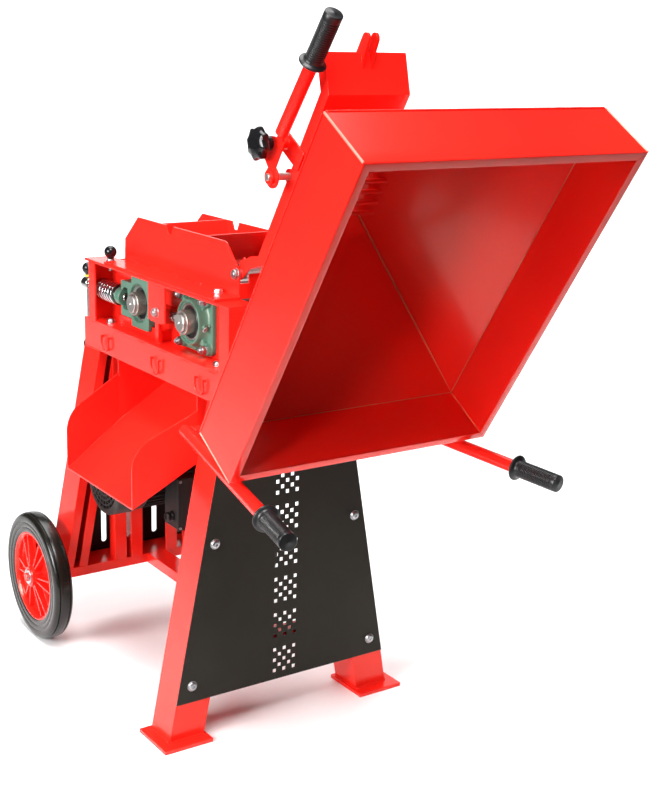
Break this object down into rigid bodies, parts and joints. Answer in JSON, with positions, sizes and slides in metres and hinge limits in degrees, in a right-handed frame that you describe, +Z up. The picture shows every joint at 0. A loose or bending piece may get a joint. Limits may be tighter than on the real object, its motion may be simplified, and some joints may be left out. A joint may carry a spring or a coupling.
{
  "type": "feed crusher",
  "caption": "Two-roller feed crusher on a four-legged stand with wheels, tipping funnel hopper, sprung take-up roller, discharge chute and belt drive.",
  "frame": {"origin": "on the floor under the middle of the machine's bounding box", "axes": "+Z up, +X from the wheels towards the foot plates and the tipped hopper, -Y towards the side that the chute empties to"},
  "size_m": [1.4381, 0.639, 1.4677],
  "materials": {
    "red_paint": "gloss powder coat",
    "black_paint": "satin",
    "black_plastic": "semi-matt",
    "tyre": "matt rubber",
    "green_casting": "green enamel on casting",
    "belt_rubber": "matt",
    "zinc": "bright zinc plate",
    "bright_steel": "machined",
    "plain_steel": "turned steel"
  },
  "bodies": {
    "stand": {"side_beam_near": "red_paint", "side_beam_far": "red_paint", "foot_leg_near": "red_paint", "foot_leg_far": "red_paint", "wheel_leg_near": "red_paint", "wheel_leg_far": "red_paint", "foot_plates": "red_paint", "head_cross_beams": "red_paint", "rear_rail": "red_paint", "cross_brace": "red_paint", "front_rail": "red_paint", "motor_rails": "red_paint", "front_panel": "black_paint", "rear_vent_panel": "black_paint", "head_side_near": "red_paint", "head_side_far": "red_paint", "head_end_plates": "red_paint", "take_up_guides": "red_paint", "stop_brackets": "red_paint", "inlet_box": "red_paint", "inlet_baffles": "red_paint", "discharge_chute": "red_paint", "handle_near": "red_paint", "handle_far": "red_paint", "handle_grips": "black_plastic", "wheel_axle": "zinc", "flange_bearings": "green_casting", "hopper_pivots": "zinc", "motor_body": "black_paint", "fan_cowl": "black_paint", "drive_belt": "belt_rubber", "belt_guard": "red_paint", "bolts": "zinc"},
    "hopper": {"hopper_rim": "red_paint", "hopper_funnel": "red_paint", "inlet_lid": "red_paint", "lock_bracket": "red_paint"},
    "gate": {"gate_flap": "plain_steel", "gate_lever": "red_paint", "lever_grip": "black_plastic"},
    "lock_knob": {"star_knob": "black_plastic"},
    "fixed_roller_set": {"fixed_roller": "plain_steel", "fixed_shaft": "plain_steel"},
    "take_up_carriage": {"take_up_bearings": "green_casting", "take_up_spring_near": "zinc", "take_up_spring_far": "zinc"},
    "sprung_roller_set": {"sprung_roller": "plain_steel", "sprung_shaft": "plain_steel"},
    "spindle_a": {"spindle_near": "bright_steel"},
    "spindle_b": {"spindle_far": "bright_steel"},
    "tommy_a": {"tommy_bar_near": "bright_steel"},
    "tommy_b": {"tommy_bar_far": "bright_steel"},
    "clamp_a": {"clamp_knob_near": "black_plastic"},
    "clamp_b": {"clamp_knob_far": "black_plastic"},
    "wheel_a": {"wheel_rim_near": "red_paint", "tyre_near": "tyre"},
    "wheel_b": {"wheel_rim_far": "red_paint", "tyre_far": "tyre"},
    "rotor": {"motor_rotor": "plain_steel"},
    "latch": {"swing_bolt": "plain_steel"}
  },
  "joints": [
    {"name": "hopper_tip", "type": "hinge", "parent": "stand", "child": "hopper", "pos_m": [0.0074, 0, 0.956], "axis": [0, -1, 0], "range_deg": [0, 122]},
    {"name": "gate_lever_turn", "type": "hinge", "parent": "hopper", "child": "gate", "pos_m": [0.20221, 0, 1.16963], "axis": [0, 1, 0], "range_deg": [0, 22]},
    {"name": "lock_knob_turn", "type": "hinge", "parent": "hopper", "child": "lock_knob", "pos_m": [0.19627, -0.15, 1.22994], "axis": [0, 1, 0], "range_deg": [0, 180]},
    {"name": "fixed_roller_spin", "type": "hinge", "parent": "stand", "child": "fixed_roller_set", "pos_m": [-0.129, 0, 0.8365], "axis": [0, 1, 0], "continuous": true},
    {"name": "rotor_spin", "type": "hinge", "parent": "stand", "child": "rotor", "pos_m": [-0.402, 0, 0.425], "axis": [0, 1, 0], "continuous": true},
    {"name": "take_up_slide", "type": "slide", "parent": "stand", "child": "take_up_carriage", "axis": [-1, 0, 0], "range_m": [0, 0.015], "stiffness_N_per_m": 20000, "springref_m": -0.005, "deforming": ["take_up_spring_near", "take_up_spring_far"]},
    {"name": "sprung_roller_spin", "type": "hinge", "parent": "take_up_carriage", "child": "sprung_roller_set", "pos_m": [-0.352, 0, 0.8365], "axis": [0, 1, 0], "continuous": true},
    {"name": "spindle_turn_a", "type": "hinge", "parent": "stand", "child": "spindle_a", "pos_m": [-0.6, -0.112, 0.8365], "axis": [1, 0, 0], "range_deg": [-180, 180]},
    {"name": "spindle_turn_b", "type": "hinge", "parent": "stand", "child": "spindle_b", "pos_m": [-0.6, 0.112, 0.8365], "axis": [1, 0, 0], "range_deg": [-180, 180]},
    {"name": "tommy_slide_a", "type": "slide", "parent": "spindle_a", "child": "tommy_a", "axis": [0, 0, 1], "range_m": [0, 0.1]},
    {"name": "tommy_slide_b", "type": "slide", "parent": "spindle_b", "child": "tommy_b", "axis": [0, 0, 1], "range_m": [0, 0.1]},
    {"name": "clamp_turn_a", "type": "hinge", "parent": "stand", "child": "clamp_a", "pos_m": [-0.513, -0.1085, 0.9], "axis": [0, 0, 1], "range_deg": [-180, 180]},
    {"name": "clamp_turn_b", "type": "hinge", "parent": "stand", "child": "clamp_b", "pos_m": [-0.513, 0.1085, 0.9], "axis": [0, 0, 1], "range_deg": [-180, 180]},
    {"name": "wheel_spin_a", "type": "hinge", "parent": "stand", "child": "wheel_a", "pos_m": [-0.566, -0.28085, 0.153], "axis": [0, 1, 0], "continuous": true},
    {"name": "wheel_spin_b", "type": "hinge", "parent": "stand", "child": "wheel_b", "pos_m": [-0.566, 0.28085, 0.153], "axis": [0, 1, 0], "continuous": true},
    {"name": "latch_swing", "type": "hinge", "parent": "stand", "child": "latch", "pos_m": [-0.602, 0, 0.85], "axis": [0, 1, 0], "range_deg": [0, 200]}
  ],
  "couplings": [
    {"joint": "rotor_spin", "follows": "fixed_roller_spin", "ratio": 2.5}
  ]
}
